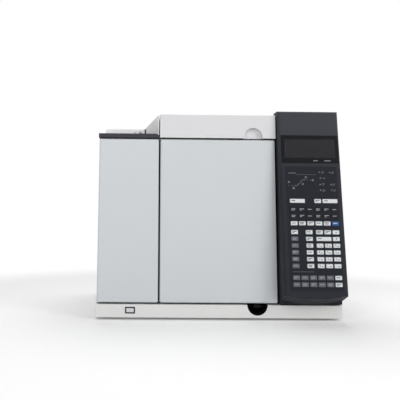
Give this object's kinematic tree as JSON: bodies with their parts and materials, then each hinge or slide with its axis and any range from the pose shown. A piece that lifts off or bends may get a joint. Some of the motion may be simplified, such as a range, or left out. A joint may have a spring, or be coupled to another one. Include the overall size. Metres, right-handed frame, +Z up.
{
  "type": "gas chromatograph",
  "caption": "Bench-top gas chromatograph with side-hinged oven door, lift-up detector cover, inlet deck and a leaning keypad console.",
  "frame": {"origin": "on the bench, under the middle of the overall footprint", "axes": "+Z up, the door and console face -Y, +X is to the right of someone facing the door; the width along X is the longest extent"},
  "size_m": [0.58, 0.511, 0.497],
  "materials": {
    "black_plastic": "black moulded",
    "board": "solder-masked circuit board",
    "brass": "turned brass",
    "chassis_steel": "zinc-plated sheet",
    "console_black": "dark grey moulded shell",
    "copper_coil": "taped winding",
    "cover_plastic": "fine moulded texture",
    "door_grey": "light grey moulded facing",
    "element": "oxidised sheathed element",
    "gasket": "braided seal",
    "key_black": "moulded key",
    "key_blue": "moulded key",
    "key_grey": "moulded key",
    "key_white": "moulded key",
    "motor_alloy": "cast alloy",
    "rubber": "matt",
    "silica": "coated fused silica",
    "stainless": "stainless sheet",
    "white_paint": "satin powder coat",
    "window": "tinted clear window",
    "wool": "mineral wool"
  },
  "bodies": {
    "cabinet": {"feet": "rubber", "base_pan": "white_paint", "base_fascia": "cover_plastic", "latch_cup": "black_plastic", "power_switch": "black_plastic", "left_side_panel": "white_paint", "right_side_panel": "white_paint", "rear_panel": "chassis_steel", "chassis_frame": "chassis_steel", "inlet_deck": "black_plastic", "pneumatics_cover": "cover_plastic", "console_housing": "console_black", "display_bezel": "black_plastic", "display_window": "window", "keypad_plate": "black_plastic", "console_board": "board", "oven_insulation": "wool", "oven_liner": "stainless", "fan_shroud": "stainless", "heater_coil": "element", "oven_fan_motor": "motor_alloy", "column_cage": "stainless", "capillary_column": "silica", "sample_inlets": "brass", "sampler_post": "stainless", "flame_detectors": "stainless", "exhaust_duct": "stainless", "intake_duct": "stainless", "flap_motor": "motor_alloy", "flow_modules": "motor_alloy", "gas_fittings": "brass", "main_board": "board", "power_supply": "chassis_steel", "transformer": "copper_coil", "cooling_fan_frame": "black_plastic", "rear_connectors": "chassis_steel", "power_inlet": "black_plastic", "hinge_brackets": "stainless", "cover_hinge": "stainless"},
    "oven_door": {"door_frame": "black_plastic", "door_panel_left": "door_grey", "door_panel_right": "door_grey", "door_insulation": "wool", "door_liner": "stainless", "door_gasket": "gasket"},
    "cover": {"detector_cover": "cover_plastic"},
    "oven_fan": {"fan_wheel": "stainless"},
    "cooling_fan": {"cooling_rotor": "black_plastic"},
    "flaps": {"oven_flaps": "stainless"},
    "latch": {"latch_lever": "black_plastic"},
    "mains_button": {"power_button": "key_white"},
    "press_key_prep": {"key_prep": "key_white"},
    "press_key_stop": {"key_stop": "key_white"},
    "press_key_start": {"key_start": "key_white"},
    "press_keys_function": {"keys_function": "key_black"},
    "press_keys_mode": {"keys_mode": "key_white"},
    "press_key_shift": {"key_shift": "key_blue"},
    "press_keys_menu": {"keys_menu": "key_grey"},
    "press_keys_number": {"keys_number": "key_white"},
    "press_keys_program": {"keys_program": "key_grey"}
  },
  "joints": [
    {"name": "oven_door_hinge", "type": "hinge", "parent": "cabinet", "child": "oven_door", "pos_m": [-0.28, -0.1765, 0.233], "axis": [0, 0, -1], "range_deg": [0, 105]},
    {"name": "detector_cover_hinge", "type": "hinge", "parent": "cabinet", "child": "cover", "pos_m": [0, 0.0215, 0.481], "axis": [-1, 0, 0], "range_deg": [0, 80]},
    {"name": "oven_fan_spin", "type": "hinge", "parent": "cabinet", "child": "oven_fan", "pos_m": [-0.074, 0.0215, 0.233], "axis": [0, 1, 0], "continuous": true},
    {"name": "cooling_fan_spin", "type": "hinge", "parent": "cabinet", "child": "cooling_fan", "pos_m": [0.2165, 0.22, 0.423], "axis": [0, 1, 0], "continuous": true},
    {"name": "oven_flap_turn", "type": "hinge", "parent": "cabinet", "child": "flaps", "pos_m": [-0.074, 0.2, 0.35], "axis": [-1, 0, 0], "range_deg": [0, 75]},
    {"name": "latch_lever_turn", "type": "hinge", "parent": "cabinet", "child": "latch", "pos_m": [0.09, -0.1905, 0.031], "axis": [1, 0, 0], "range_deg": [0, 16]},
    {"name": "mains_button_push", "type": "slide", "parent": "cabinet", "child": "mains_button", "axis": [0, 1, 0], "range_m": [0, 0.003], "stiffness_N_per_m": 500},
    {"name": "key_prep_push", "type": "slide", "parent": "cabinet", "child": "press_key_prep", "axis": [0, 0.9964, -0.0846], "range_m": [0, 0.001], "stiffness_N_per_m": 400},
    {"name": "key_stop_push", "type": "slide", "parent": "cabinet", "child": "press_key_stop", "axis": [0, 0.9964, -0.0846], "range_m": [0, 0.001], "stiffness_N_per_m": 400},
    {"name": "key_start_push", "type": "slide", "parent": "cabinet", "child": "press_key_start", "axis": [0, 0.9964, -0.0846], "range_m": [0, 0.001], "stiffness_N_per_m": 400},
    {"name": "keys_function_push", "type": "slide", "parent": "cabinet", "child": "press_keys_function", "axis": [0, 0.9964, -0.0846], "range_m": [0, 0.001], "stiffness_N_per_m": 800},
    {"name": "keys_mode_push", "type": "slide", "parent": "cabinet", "child": "press_keys_mode", "axis": [0, 0.9964, -0.0846], "range_m": [0, 0.001], "stiffness_N_per_m": 400},
    {"name": "key_shift_push", "type": "slide", "parent": "cabinet", "child": "press_key_shift", "axis": [0, 0.9964, -0.0846], "range_m": [0, 0.001], "stiffness_N_per_m": 400},
    {"name": "keys_menu_push", "type": "slide", "parent": "cabinet", "child": "press_keys_menu", "axis": [0, 0.9964, -0.0846], "range_m": [0, 0.001], "stiffness_N_per_m": 400},
    {"name": "keys_number_push", "type": "slide", "parent": "cabinet", "child": "press_keys_number", "axis": [0, 0.9964, -0.0846], "range_m": [0, 0.001], "stiffness_N_per_m": 1200},
    {"name": "keys_program_push", "type": "slide", "parent": "cabinet", "child": "press_keys_program", "axis": [0, 0.9964, -0.0846], "range_m": [0, 0.001], "stiffness_N_per_m": 700}
  ]
}
